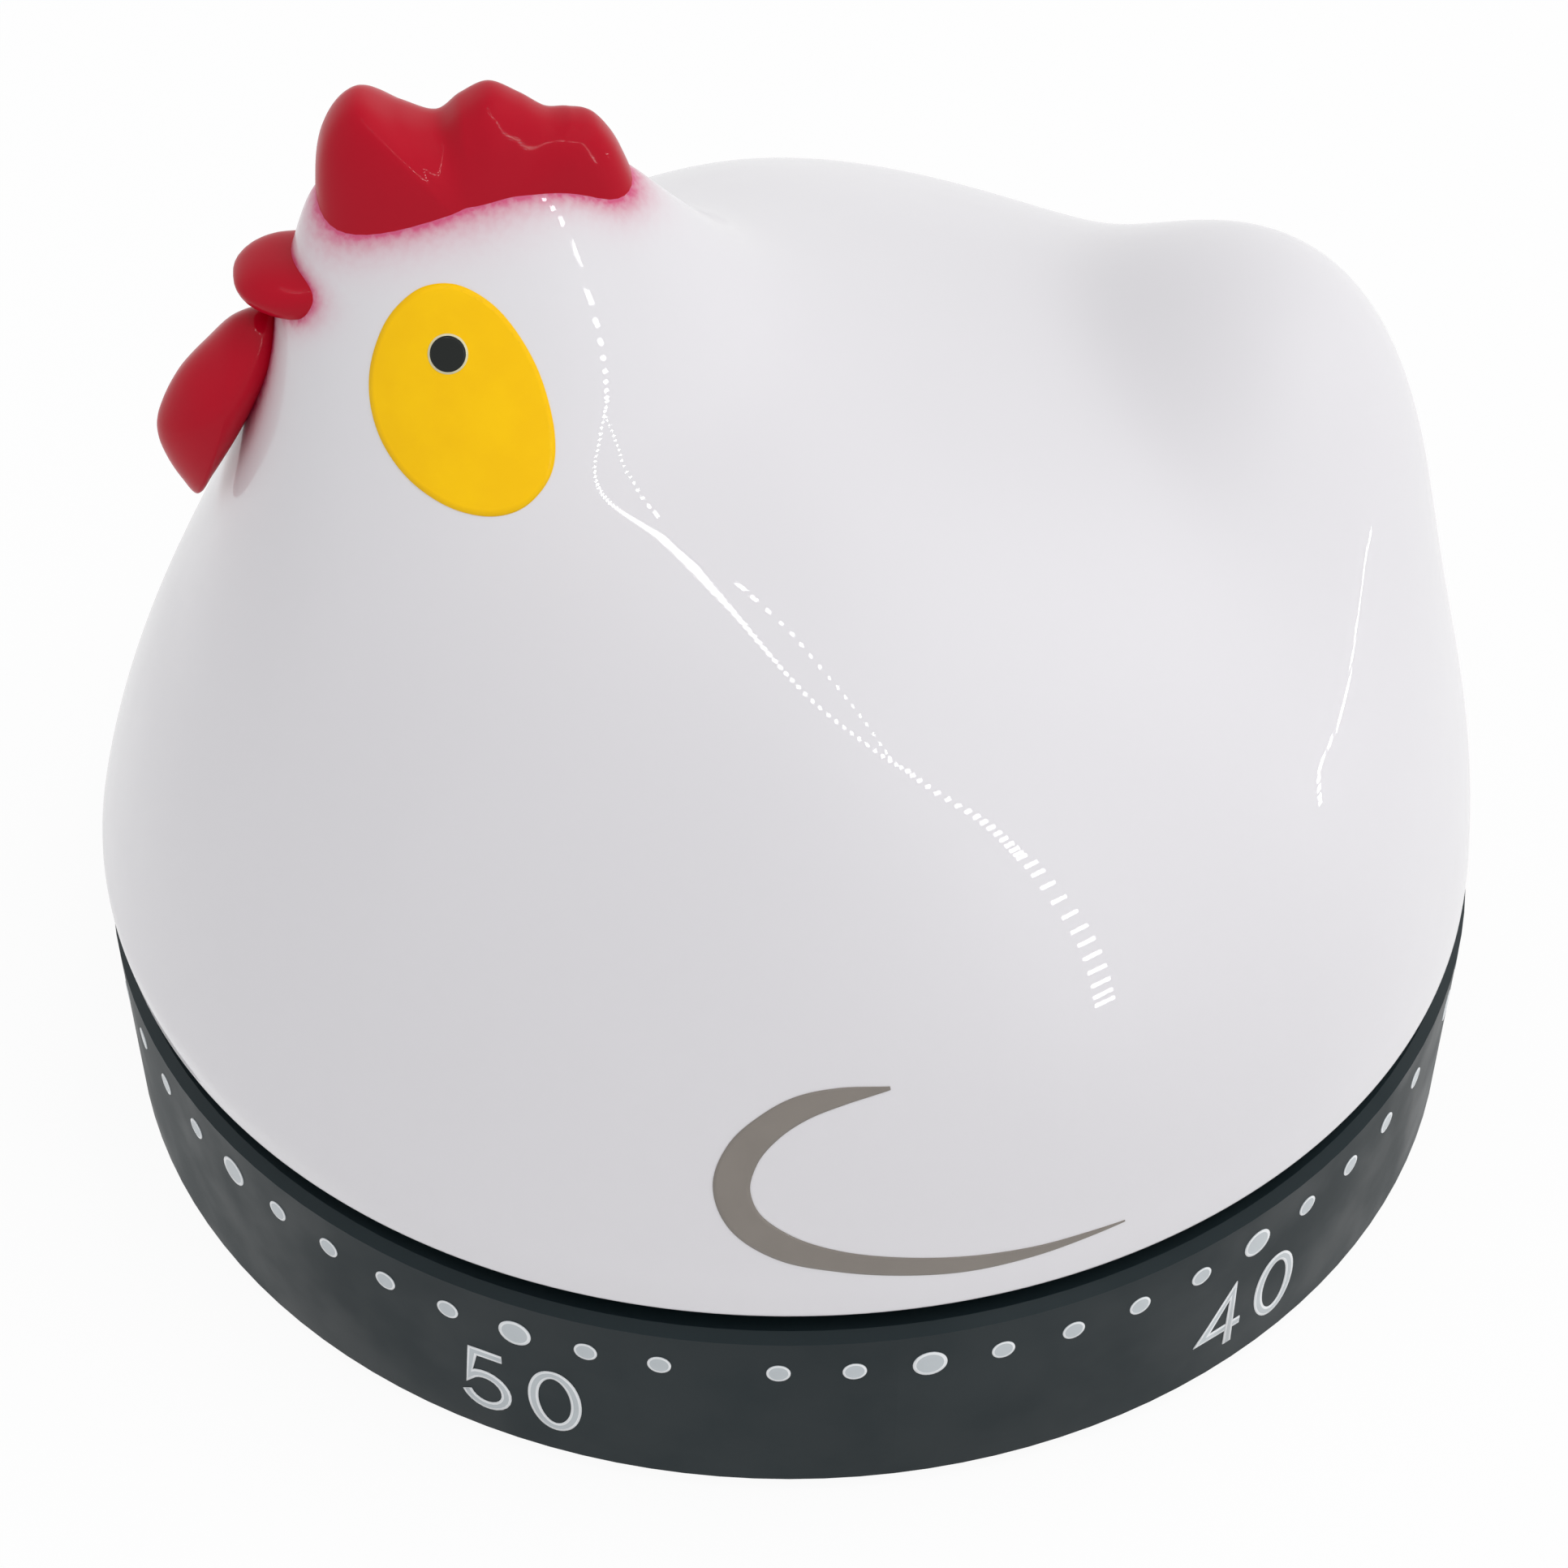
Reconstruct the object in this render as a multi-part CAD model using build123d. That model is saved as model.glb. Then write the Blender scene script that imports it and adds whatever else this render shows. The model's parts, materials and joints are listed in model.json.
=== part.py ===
from build123d import *
import os
from math import acos, atan2, cos, degrees, exp, hypot, pi, radians, sin, sqrt, tan, tanh

# Wind-up kitchen timer: a hollow hen turns on a round dial base that holds the clockwork.
# Millimetres. The origin is the centre of the underside, +Z is up, the hen faces -Y at zero minutes
# and its left side is +X. Angles are degrees, counter-clockwise from +X seen from above.

# ---- driving sizes: dial base ----
ring_radius = 37.5          # outside of the dial ring at its top
ring_draft = 0.3            # how much the ring narrows to its foot
ring_height = 11.8
ring_wall = 2.0
ring_edge = 0.5             # rounding of the ring's top edge
lip_width = 3.6             # inward lip at the top of the ring
lip_thickness = 1.2
pad_drop = 0.4              # how far the rubber pad stands below the ring
pad_edge = 2.5              # of the floor between the rubber pad and the base screws
pad_thickness = 0.8
floor_thickness = 1.6
base_screw_inset = 2.6      # of the base screws from the inside of the ring's wall
base_screw_angles = (90, 210, 330)

# ---- driving sizes: hen ----
turn_gap = 1.17             # shadow gap between dial ring and hen
rim_step = 0.2              # of the hen's rim inside the outside of the ring
rim_tuck = 3.0              # height over which the hen draws in to its round rim
shell_wall = 2.0
dome_inset = 0.8            # of the body's own radius from its rim
dome_height = 36.3
dome_power_back = 2.15      # superellipse power of the body behind the wings
dome_power_breast = 1.64    # and at the breast
breast_angle = 81.0         # from straight ahead to where breast turns into back
breast_turn = 17.0
saddle_depth = 4.7
saddle_angle = 111.0
saddle_width = 0.77
tail_back = 14.0
tail_up = 2.1
tail_tilt = 113.0
tail_length = 32.1
tail_depth = 13.9
tail_width = 19.6
tail_blend = 5.8
neck_top = 44.7             # above the rim
neck_fore = 4.1
neck_lean = 0.27
neck_round = 6.1
neck_round_depth = 1.5
neck_taper_fore = 0.57
neck_taper_side = 0.68
neck_side_round = 4.1
neck_power = 2.1
neck_blend = 3.4
crown_angle = 68.0          # of the top of the head above the rim plane
form_levels = 14            # sections from the crown down to the rim
form_around = 36            # points round each section
crown_share = 0.01          # of the way from crown to rim where the flat top section lies
level_bias = 0.1            # draws the sections closer together at the crown and the rim
reach_steps = 26            # halvings that find the neck's skin along a ray
probe = 0.01                # step of the finite differences that give the skin's normal
open_foot = 1.0             # of the inner form below the rim, so that the shell is open there

comb_half = 2.6
comb_round = 0.9
comb_outline = (                    # ahead of the axis, and above the top of the head
    (22.9, -5.5), (23.0, -1.2), (20.4, 2.9), (17.3, 1.5), (14.4, 2.8), (11.6, 1.1), (9.7, 0.9), (7.6, -1.6),
    (7.3, -5.5))
beak_angle = 56.9                   # above the rim plane, seen from the form's centre
beak_radii = (2.35, 2.6, 2.35)      # along the head, across it and upwards
beak_droop = 12.0
beak_stand_off = 0.3                # of its middle outside the skin
wattle_angle = 47.9
wattle_radii = (2.3, 2.9, 6.05)
wattle_lean = 24.0
wattle_stand_off = 1.0
red_gap = 0.15                      # between the beak, the comb and the wattle

# ---- driving sizes: carrier inside the hen ----
carrier_gap = 0.3           # between the turning flange and the dial ring
carrier_inset = 1.0         # of the flange from the hen's rim
carrier_wall = 1.4
carrier_room = 1.2          # between the clockwork's plates and the hat over them
carrier_ledge = 1.25
carrier_screw_angles = (30, 150, 270)
seat_gap = 0.15             # between parts that slide together once
bolt_gap = 0.05             # between a screw and its hole

# ---- driving sizes: clockwork ----
plate_radius = 25.0
plate_thickness = 0.8
plate_floor = 9.5           # underside of the lower plate
plate_gap = 8.5
post_inset = 2.5            # of the posts' middles from the plates' edge
post_angles = (75, 210, 340)
post_radius = 2.2
pillar_inset = 2.6          # and of the pillars' middles
pillar_angles = (110, 180, 245, 315)
pillar_radius = 1.5
pivot_gap = 0.06
wheel_tooth = (0.8, 0.14, 0.42)     # addendum in modules, then half widths at tip and root in half pitches
pinion_leaf = (0.6, 0.12, 0.45)
tooth_root = 1.2                    # depth below the pitch circle, in modules
wheel_windows = 5
window_circle = 0.62                # shares of the wheel's pitch radius
window_radius = 0.19
arbor_radius = 2.2
arbor_neck_radius = 1.6
train_shaft = 0.6
train_teeth = ((60, 8), (56, 8), (56, 8))
train_modules = (0.4, 0.35, 0.3)
main_wheel_low = 0.5        # levels are above the lower plate
main_wheel_thickness = 0.9
ratchet_radius = 4.6
ratchet_depth = 0.7
ratchet_thickness = 0.7
ratchet_teeth = 18
ratchet_tip = 2.0           # degrees from a tooth's foot to its tip
click_stand_off = 3.0       # of the pawl's rivet from the ratchet wheel
click_width = 1.0
click_angles = (120, 95)    # of the pawl's rivet and its nose
second_wheel_low = 2.5
second_wheel_thickness = 0.7
third_wheel_low = 4.0
third_wheel_thickness = 0.6
escape_wheel_low = 5.4
escape_wheel_thickness = 0.4
pinion_overlap = 0.3
third_distance = 14.5       # of the third arbor from the centre
escape_distance = 15.0
escape_radius = 5.0
escape_depth = 1.2
escape_teeth = 15
escape_tip = (0.55, 0.65)    # where a tooth's flat tip starts and ends, in pitches
pallet_distance = 6.9       # pallet pivot from the escape arbor
pallet_arm = 3.4
pallet_spread = 56.0        # of each arm from the line to the escape arbor
pallet_width = 0.9
pallet_shaft = 0.42
lever_width = 1.1
fork_length = 0.9
fork_width = 0.6
fork_spread = 48.0
balance_distance = 13.0     # balance staff from the escape arbor
balance_radius = 5.2
balance_rim = 0.9
balance_low = 6.7
balance_thickness = 0.8
balance_spoke_width = 0.8
balance_spoke_angles = (0, 120, 240)
roller_radius = 1.2
hairspring_low = 7.7
hairspring_height = 0.4
hairspring_turns = 4
hairspring_reach = 3.6
strip = 0.25                # thickness of spring wire and strip
spiral_points = 12          # of a spring's line in each turn
stud_radius = 0.5
mainspring_radius = 13.0
mainspring_turns = 6
mainspring_height = 4.0
mainspring_low = 0.8        # above the upper plate
mainspring_room = 1.0       # between the mainspring and the carrier's ceiling
spring_end_angle = 200.0
spring_post_radius = 1.0
stop_inset = 1.2            # of the stop post's middle from the plates' edge
stop_radius = 0.8
stop_gap = 0.3
turn_limit = 351.0
cam_radius = 5.0
cam_thickness = 1.0
cam_drop = 0.9
cam_notch_radius = 1.2
arbor_foot = 0.5            # of the winding arbor below the strike cam
hammer_distance = 13.0
hammer_pin_radius = 0.8
hammer_angle = 250.0
hammer_gap = 0.9            # between the hammer's head and the gong
hammer_head_angle = 285.0
hammer_head_radius = 1.5
hammer_head_height = 2.4
hammer_arm_width = 1.6
hammer_tail_width = 1.0
hammer_boss_wall = 1.1
gong_gap = 0.7              # between the gong and the posts round it
gong_sheet = 0.6
gong_low = 3.2
gong_height = 5.0
gong_corner_width = 2.2     # of the sloping corner between the gong's floor and wall
gong_corner_height = 1.6
gong_boss_wall = 2.0
gong_grip = 1.8             # of the gong screw in the floor's boss
screw_radius = 1.2
screw_head_radius = 2.1
screw_head_height = 0.9
screw_length = 6.0
slot_width = 0.5
slot_depth = 0.45
thread_room = 0.3           # below a screw that ends in a blind hole
arbor_screw_length = 3.8
pillar_grip = 2.5           # of the screws in the plate pillars
post_grip = 4.0             # and in the floor's posts

# ---- levels and places that follow ----
ring_bore = ring_radius - ring_draft - ring_wall
base_screw_distance = ring_bore - base_screw_inset
pad_radius = base_screw_distance - screw_head_radius - pad_edge
rim_radius = ring_radius - rim_step
dome_radius = rim_radius - dome_inset
ring_low = pad_drop
ring_top = ring_low + ring_height
rim_z = ring_top + turn_gap
floor_top = ring_low + floor_thickness
lower_top = plate_floor + plate_thickness
upper_low = lower_top + plate_gap
upper_top = upper_low + plate_thickness
mainspring_base = upper_top + mainspring_low
carrier_low = ring_top + carrier_gap
carrier_ceiling = mainspring_base + mainspring_height + mainspring_room
carrier_top = carrier_ceiling + carrier_wall
flange_top = rim_z + carrier_ledge
spigot_radius = rim_radius - shell_wall - seat_gap
carrier_bore = plate_radius + carrier_room
post_distance = plate_radius - post_inset
pillar_distance = plate_radius - pillar_inset
stop_distance = plate_radius - stop_inset
gong_radius = post_distance - post_radius - gong_gap
hammer_head_distance = gong_radius - gong_sheet - hammer_gap - hammer_head_radius
carrier_screw_distance = (carrier_bore + carrier_wall + spigot_radius) / 2
centre = Vector(0, 0, rim_z)


def polar(radius, angle):
    return radius * cos(radians(angle)), radius * sin(radians(angle))


def beyond(first, other, distance, side):
    """Place at a distance from the axis and at another distance from the point first, turned to side."""
    reach = hypot(*first)
    turn = acos((reach ** 2 + distance ** 2 - other ** 2) / (2 * reach * distance))
    heading = atan2(first[1], first[0]) + side * turn
    return distance * cos(heading), distance * sin(heading)


def heading_of(start, end):
    return degrees(atan2(end[1] - start[1], end[0] - start[0]))


def step_from(start, distance, angle):
    dx, dy = polar(distance, angle)
    return start[0] + dx, start[1] + dy


mesh_distances = [m * sum(teeth) / 2 for m, teeth in zip(train_modules, train_teeth)]
second_place = (mesh_distances[0], 0.0)
third_place = beyond(second_place, mesh_distances[1], third_distance, 1)
escape_place = beyond(third_place, mesh_distances[2], escape_distance, 1)
balance_place = beyond(escape_place, balance_distance, escape_distance, 1)
lever_heading = heading_of(escape_place, balance_place)
pallet_place = step_from(escape_place, pallet_distance, lever_heading)


# ---- simple solids ----
def disc(radius, low, high, place=(0, 0)):
    tall = Cylinder(radius, high - low, align=(Align.CENTER, Align.CENTER, Align.MIN))
    return Pos(place[0], place[1], low) * tall


def tube(outer, inner, low, high, place=(0, 0)):
    return disc(outer, low, high, place) - disc(inner, low, high, place)


def turned(points):
    """Solid of revolution about +Z from (radius, height) corners."""
    profile = make_face(Polyline(*[(r, 0, z) for r, z in points], close=True))
    return revolve(profile, Axis.Z)


def link(start, end, width, low, high):
    """Flat bar with round ends between two places."""
    length = hypot(end[0] - start[0], end[1] - start[1])
    middle = ((start[0] + end[0]) / 2, (start[1] + end[1]) / 2)
    flat = SlotCenterToCenter(length, width)
    return Pos(middle[0], middle[1], low) * Rot(0, 0, heading_of(start, end)) * extrude(flat, high - low)


def screw(place, face, up, length=screw_length):
    """Slotted screw: its slotted face lies at the level face and its shank points up or down."""
    head = disc(screw_head_radius, 0, screw_head_height)
    slot = Pos(0, 0, slot_depth / 2) * Box(4 * screw_head_radius, slot_width, slot_depth)
    shank = disc(screw_radius, screw_head_height, screw_head_height + length)
    return Pos(place[0], place[1], face) * Rot(0 if up else 180, 0, 0) * (head - slot + shank)


def group(solids):
    return Compound(children=list(solids))


# ---- outer form of the hen, as a reach from its centre in the rim plane ----
def smooth_max(a, b, blend):
    return 0.5 * (a + b + sqrt((a - b) ** 2 + blend ** 2))


def dome_reach(fore, side, rise, grow):
    flat = hypot(fore, side)
    around = degrees(atan2(abs(side), fore))
    breast = 0.5 * (1 - tanh((around - breast_angle) / breast_turn))
    power = dome_power_back + (dome_power_breast - dome_power_back) * breast * flat
    reach = (flat / (dome_radius + grow)) ** power + (abs(rise) / (dome_height + grow)) ** power
    toward = fore * cos(radians(saddle_angle)) + rise * sin(radians(saddle_angle))
    away = acos(max(-1.0, min(1.0, toward)))
    return reach ** (-1 / power) - saddle_depth * exp(-(away / saddle_width) ** 2)


def tail_reach(fore, side, rise, grow):
    ct, st = cos(radians(tail_tilt)), sin(radians(tail_tilt))
    length, depth, width = tail_length + grow, tail_depth + grow, tail_width + grow
    along, across = fore * ct + rise * st, rise * ct - fore * st
    mid_along, mid_across = -tail_back * ct + tail_up * st, tail_up * ct + tail_back * st
    a = (along / length) ** 2 + (across / depth) ** 2 + (side / width) ** 2
    b = -(along * mid_along / length ** 2 + across * mid_across / depth ** 2)
    c = (mid_along / length) ** 2 + (mid_across / depth) ** 2 - 1
    return (sqrt(max(b * b - a * c, 0.0)) - b) / a


def neck_holds(fore, side, rise):
    below = neck_top - rise
    if below <= 0:
        return False
    half_fore = neck_round * tanh(below / neck_round_depth) + neck_taper_fore * below
    half_side = neck_taper_side * sqrt(below * (below + neck_side_round))
    offset = abs(fore - neck_fore - neck_lean * rise) / half_fore
    return offset ** neck_power + (abs(side) / half_side) ** neck_power < 1


def neck_reach(fore, side, rise, grow):
    drop = -grow / (neck_taper_side * cos(atan2(neck_taper_side, 1)))
    near, far = 0.0, 2 * neck_top
    for _ in range(reach_steps):
        middle = (near + far) / 2
        if neck_holds(middle * fore, middle * side, middle * rise + drop):
            near = middle
        else:
            far = middle
    return near


def form_reach(way, grow=0.0):
    """Distance from the form's centre, along the unit vector way, to the skin moved out by grow."""
    fore, side, rise = -way.Y, way.X, way.Z
    body = smooth_max(dome_reach(fore, side, rise, grow), tail_reach(fore, side, rise, grow), tail_blend)
    reach = smooth_max(body, neck_reach(fore, side, rise, grow), neck_blend)
    level = max(0.0, min(1.0, reach * rise / rim_tuck))
    rim = (rim_radius + grow) / hypot(fore, side) if level < 1 else reach
    return rim + (reach - rim) * level * level * (3 - 2 * level)


def form_normal(way):
    """Outward unit normal of the skin where the ray way leaves it."""
    spot = way * form_reach(way)
    slope = []
    for axis in (Vector(1, 0, 0), Vector(0, 1, 0), Vector(0, 0, 1)):
        ahead, behind = spot + axis * probe, spot - axis * probe
        outside = [spot_near.length - form_reach(spot_near.normalized()) for spot_near in (ahead, behind)]
        slope.append(outside[0] - outside[1])
    return Vector(*slope).normalized()


def way_of(heading, angle):
    """Unit vector: heading turns from straight ahead to the hen's left, angle rises from the rim plane."""
    flat = cos(radians(angle))
    return Vector(flat * sin(radians(heading)), -flat * cos(radians(heading)), sin(radians(angle)))


def form_solid(grow, foot=0.0):
    """Closed solid inside the hen's skin moved out by grow, with foot of straight wall below the rim."""
    crown = way_of(0, crown_angle)
    sections = []
    for level in range(form_levels + 1):
        step = level / form_levels
        share = crown_share + (1 - crown_share) * (step - level_bias * sin(2 * pi * step))
        points = []
        for turn in range(form_around):
            rim_way = way_of(360 * turn / form_around, 0)
            span = crown.get_angle(rim_way)
            way = crown * (sin(radians((1 - share) * span)) / sin(radians(span)))
            way += rim_way * (sin(radians(share * span)) / sin(radians(span)))
            way = rim_way if level == form_levels else way.normalized()
            points.append(way * form_reach(way, grow))
        if level == 0:
            height = sum(p.dot(crown) for p in points) / form_around
            points = [p + crown * (height - p.dot(crown)) for p in points]
        sections.append(points)
    if foot > 0:
        sections.append([p - Vector(0, 0, foot) for p in sections[-1]])
    wires = [Wire([Edge.make_spline([centre + p for p in points], periodic=True)]) for points in sections]
    return Solid.make_loft(wires)


outer_form = form_solid(0.0)


# ---- pieces of the hen ----
def hen_shell():
    shell = outer_form - form_solid(-shell_wall, foot=open_foot)
    room = form_solid(-shell_wall / 2)
    for angle in carrier_screw_angles:
        place = polar(carrier_screw_distance, angle)
        boss = disc(screw_head_radius, flange_top, centre.Z + dome_height, place)
        shell += boss & room
    for angle in carrier_screw_angles:
        place = polar(carrier_screw_distance, angle)
        shell -= disc(screw_radius + bolt_gap, flange_top, flange_top + screw_length, place)
    return shell


def ball(radii, spot, tilt):
    """Ellipsoid with half sizes along the head, across it and upwards, tipped forwards by tilt."""
    unit = Rot(20, 35, 10) * Sphere(1)      # turned so that its poles and seam lie off the planes it meets
    return Pos(spot.X, spot.Y, spot.Z) * Rot(tilt, 0, 0) * scale(unit, by=(radii[1], radii[0], radii[2]))


def comb_side():
    """Flat outline of the comb on the hen's middle plane, with its foot inside the head."""
    corners = [(0, -fore, rim_z + neck_top + rise) for fore, rise in comb_outline]
    return make_face([Spline(*corners), Line(corners[-1], corners[0])])


def slab(side, half):
    return extrude(side, half, dir=Vector(1, 0, 0), both=True)


def comb():
    body = slab(comb_side(), comb_half)
    rims = [edge for edge in body.edges() if edge.geom_type == GeomType.BSPLINE]
    return fillet(rims, comb_round) - outer_form


def on_middle(angle, stand_off):
    """Place on the hen's middle plane, stand_off outside the skin, at an angle above the rim plane."""
    way = way_of(0, angle)
    return centre + way * form_reach(way) + form_normal(way) * stand_off


def beak_ball(grow):
    radii = [radius + grow for radius in beak_radii]
    return ball(radii, on_middle(beak_angle, beak_stand_off), beak_droop)


def beak():
    room = slab(offset(comb_side(), red_gap), comb_half + red_gap)
    return beak_ball(0) - outer_form - room


def wattle():
    body = ball(wattle_radii, on_middle(wattle_angle, wattle_stand_off), wattle_lean)
    return body - outer_form - beak_ball(red_gap)


# ---- carrier and winding arbor ----
def carrier():
    body = turned((
        (carrier_bore, carrier_low), (rim_radius - carrier_inset, carrier_low),
        (rim_radius - carrier_inset, rim_z), (spigot_radius, rim_z), (spigot_radius, flange_top),
        (carrier_bore + carrier_wall, flange_top), (carrier_bore + carrier_wall, carrier_top),
        (arbor_neck_radius + bolt_gap, carrier_top), (arbor_neck_radius + bolt_gap, carrier_ceiling),
        (carrier_bore, carrier_ceiling)))
    for angle in carrier_screw_angles:
        place = polar(carrier_screw_distance, angle)
        body -= disc(screw_radius + bolt_gap, carrier_low, flange_top, place)
        body -= disc(screw_head_radius + bolt_gap, carrier_low, carrier_low + screw_head_height, place)
    return body + stop_rib()


def stop_angle(side):
    """Turn between the stop post and the rib when they meet on one side."""
    return side * (360 - turn_limit) / 2


def stop_rib():
    half = stop_distance * radians((360 - turn_limit) / 2) - stop_radius - stop_gap
    low = upper_top + screw_head_height + 2 * stop_gap
    inner = stop_distance - stop_radius
    rib = Pos(inner, -half, low) * Box(
        carrier_bore + carrier_wall / 2 - inner, 2 * half, carrier_ceiling + carrier_wall / 2 - low,
        align=(Align.MIN, Align.MIN, Align.MIN))
    return Rot(0, 0, stop_angle(-1)) * rib


def carrier_screws():
    return group(screw(polar(carrier_screw_distance, a), carrier_low, True) for a in carrier_screw_angles)


def winding_arbor():
    low = plate_floor - cam_drop - cam_thickness - arbor_foot
    body = disc(arbor_neck_radius, low, lower_top)
    body += disc(arbor_radius, lower_top + pivot_gap, upper_low - pivot_gap)
    body += disc(arbor_neck_radius, lower_top, carrier_top)
    return body - disc(screw_radius + bolt_gap, carrier_top - arbor_screw_length - stop_gap, carrier_top)


def arbor_screw():
    return screw((0, 0), carrier_top + screw_head_height, False, arbor_screw_length)


# ---- wheels ----
def toothed(teeth, module, form, bore, low, high, place, phase):
    """Spur wheel with straight-sided teeth, one of them centred on the angle phase."""
    pitch = module * teeth / 2
    addendum, tip, root = form
    foot = pitch - tooth_root * module
    corners = []
    for tooth in range(teeth):
        middle = radians(phase) + 2 * pi * tooth / teeth
        for radius, share in (
                (foot, -root), (pitch + addendum * module, -tip),
                (pitch + addendum * module, tip), (foot, root)):
            angle = middle + share * pi / teeth
            corners.append((radius * cos(angle), radius * sin(angle)))
    blank = extrude(make_face(Polyline(*corners, close=True)), high - low)
    return Pos(place[0], place[1], low) * blank - disc(bore, low, high, place)


def wheel(stage, bore, low, thickness, place, phase):
    """Wheel of one stage of the train, lightened by round windows."""
    teeth, module = train_teeth[stage][0], train_modules[stage]
    low += lower_top
    body = toothed(teeth, module, wheel_tooth, bore, low, low + thickness, place, phase)
    pitch = module * teeth / 2
    for window in range(wheel_windows):
        spot = step_from(place, pitch * window_circle, phase + 360 * (window + 0.5) / wheel_windows)
        body -= disc(pitch * window_radius, low, low + thickness, spot)
    return body


def pinion_arbor(stage, wheel_low, wheel_thickness, place, phase):
    """Pinion of one stage, cut on its arbor, which runs in both plates."""
    low = lower_top + wheel_low - pinion_overlap
    high = lower_top + wheel_low + wheel_thickness + pinion_overlap
    teeth, module = train_teeth[stage][1], train_modules[stage]
    leaves = toothed(teeth, module, pinion_leaf, train_shaft / 2, low, high, place, phase)
    shaft = disc(train_shaft, plate_floor, upper_top, place)
    return leaves + shaft


def main_wheel():
    return wheel(0, arbor_radius + bolt_gap, main_wheel_low, main_wheel_thickness, (0, 0), 0)


def second_arbor():
    phase = 180 + 180 / train_teeth[0][1]
    return pinion_arbor(0, main_wheel_low, main_wheel_thickness, second_place, phase)


def second_wheel():
    phase = heading_of(second_place, third_place)
    return wheel(1, train_shaft + bolt_gap, second_wheel_low, second_wheel_thickness, second_place, phase)


def third_arbor():
    phase = heading_of(third_place, second_place) + 180 / train_teeth[1][1]
    return pinion_arbor(1, second_wheel_low, second_wheel_thickness, third_place, phase)


def third_wheel():
    phase = heading_of(third_place, escape_place)
    return wheel(2, train_shaft + bolt_gap, third_wheel_low, third_wheel_thickness, third_place, phase)


def escape_arbor():
    phase = heading_of(escape_place, third_place) + 180 / train_teeth[2][1]
    return pinion_arbor(2, third_wheel_low, third_wheel_thickness, escape_place, phase)


def escape_wheel():
    corners = []
    pitch = 360 / escape_teeth
    for tooth in range(escape_teeth):
        angle = tooth * pitch
        corners.append(polar(escape_radius - escape_depth, angle))
        corners += [polar(escape_radius, angle + share * pitch) for share in escape_tip]
    low = lower_top + escape_wheel_low
    blank = Pos(escape_place[0], escape_place[1], low) * extrude(
        make_face(Polyline(*corners, close=True)), escape_wheel_thickness)
    return blank - disc(train_shaft + bolt_gap, low, low + escape_wheel_thickness, escape_place)


def ratchet_wheel():
    corners = []
    for tooth in range(ratchet_teeth):
        angle = tooth * 360 / ratchet_teeth
        corners.append(polar(ratchet_radius - ratchet_depth, angle))
        corners.append(polar(ratchet_radius, angle + ratchet_tip))
    low = lower_top + main_wheel_low + main_wheel_thickness
    blank = Pos(0, 0, low) * extrude(make_face(Polyline(*corners, close=True)), ratchet_thickness)
    return blank - disc(arbor_radius + bolt_gap, low, low + ratchet_thickness)


def click_pawl():
    """Pawl on the main wheel whose nose rests against the ratchet wheel."""
    low = lower_top + main_wheel_low + main_wheel_thickness
    pivot = polar(ratchet_radius + click_stand_off, click_angles[0])
    nose = polar(ratchet_radius + click_width / 2 + bolt_gap, click_angles[1])
    return link(pivot, nose, click_width, low, low + ratchet_thickness)


# ---- escapement ----
def pallet_lever():
    low = lower_top + escape_wheel_low
    high = low + 2 * escape_wheel_thickness
    reach = balance_distance - pallet_distance - roller_radius - 2 * stop_gap - fork_length
    fork = step_from(pallet_place, reach, lever_heading)
    body = link(pallet_place, fork, lever_width, low, high)
    back = lever_heading + 180
    for side in (-1, 1):
        heading = back + side * pallet_spread
        elbow = step_from(pallet_place, pallet_arm, heading)
        body += link(pallet_place, elbow, pallet_width, low, high)
        tine = step_from(fork, fork_length, lever_heading + side * fork_spread)
        body += link(fork, tine, fork_width, low, high)
    shaft = disc(pallet_shaft, plate_floor, upper_top, pallet_place)
    return body + shaft


def balance_wheel():
    low = lower_top + balance_low
    high = low + balance_thickness
    body = tube(balance_radius, balance_radius - balance_rim, low, high, balance_place)
    for angle in balance_spoke_angles:
        rim = step_from(balance_place, balance_radius - balance_rim / 2, angle)
        body += link(balance_place, rim, balance_spoke_width, low, high)
    return body - disc(train_shaft + bolt_gap, low, high, balance_place)


def balance_staff():
    low = lower_top + escape_wheel_low
    body = disc(train_shaft, plate_floor, upper_top, balance_place)
    return body + disc(roller_radius, low, low + escape_wheel_thickness, balance_place)


def spiral(inner, outer, turns, low, high, place, phase):
    """Flat spiral strip between two radii, ending at the angle phase."""
    points = []
    steps = spiral_points * turns
    for step in range(steps + 1):
        share = step / steps
        angle = phase + 360 * turns * (share - 1)
        points.append(step_from(place, inner + (outer - inner) * share, angle))
    line = Spline(*points)
    return Pos(0, 0, low) * extrude(trace(line, strip), high - low)


def hairspring():
    low = lower_top + hairspring_low
    inner = train_shaft + 2 * stop_gap
    return spiral(inner, hairspring_reach, hairspring_turns, low, low + hairspring_height, balance_place,
                  lever_heading)


def hairspring_stud():
    place = step_from(balance_place, hairspring_reach + strip / 2 + stud_radius, lever_heading)
    return disc(stud_radius, lower_top + hairspring_low, upper_low, place)


# ---- plates, pillars and mainspring ----
def arbor_places():
    return (second_place, third_place, escape_place, balance_place)


def plate(low):
    body = disc(plate_radius, low, low + plate_thickness)
    body -= disc(arbor_neck_radius + pivot_gap, low, low + plate_thickness)
    for place in arbor_places():
        body -= disc(train_shaft + pivot_gap, low, low + plate_thickness, place)
    body -= disc(pallet_shaft + pivot_gap, low, low + plate_thickness, pallet_place)
    for angle in pillar_angles:
        body -= disc(screw_radius + bolt_gap, low, low + plate_thickness, polar(pillar_distance, angle))
    return body


def lower_plate():
    body = plate(plate_floor)
    for angle in post_angles:
        body -= disc(screw_radius + bolt_gap, plate_floor, lower_top, polar(post_distance, angle))
    body -= disc(hammer_pin_radius + bolt_gap, plate_floor, lower_top, polar(hammer_distance, hammer_angle))
    return body


def upper_plate():
    return plate(upper_low)


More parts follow.
